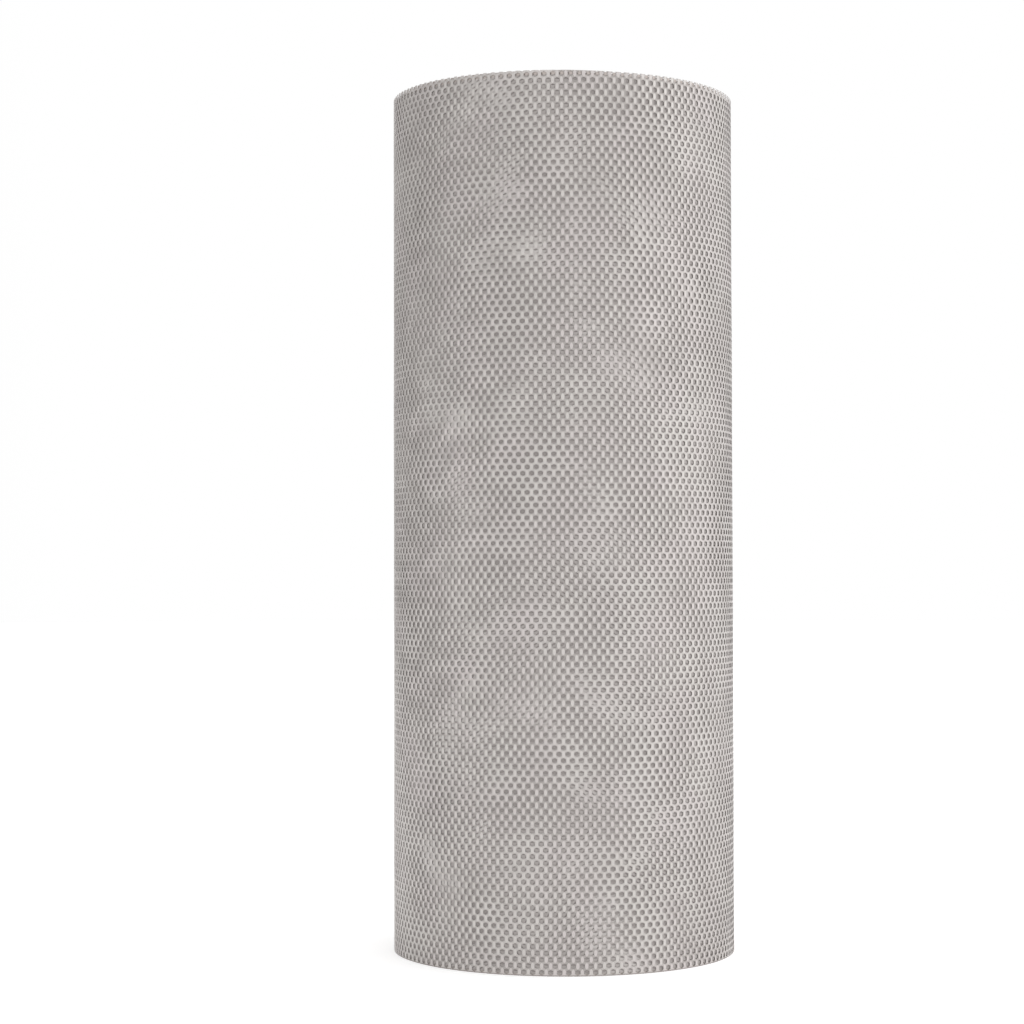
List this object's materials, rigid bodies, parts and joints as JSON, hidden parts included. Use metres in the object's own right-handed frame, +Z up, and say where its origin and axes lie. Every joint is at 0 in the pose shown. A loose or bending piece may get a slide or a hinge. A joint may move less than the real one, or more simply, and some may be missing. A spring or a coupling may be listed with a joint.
{
  "type": "roll of aluminium mesh",
  "caption": "Roll of expanded aluminium mesh, one web wound into a cylinder with an open bore, standing on its end and ready to be unrolled and cut.",
  "frame": {"origin": "centre of the end that the roll stands on, on the floor", "axes": "+Z up along the roll's axis; the loose end of the web lies on the +Y side"},
  "size_m": [0.2006, 0.2006, 0.5],
  "materials": {
    "aluminium_mesh": "bare mill-finish expanded aluminium, satin, with small staggered holes"
  },
  "bodies": {
    "root": {"mesh_roll": "aluminium_mesh"}
  },
  "joints": []
}
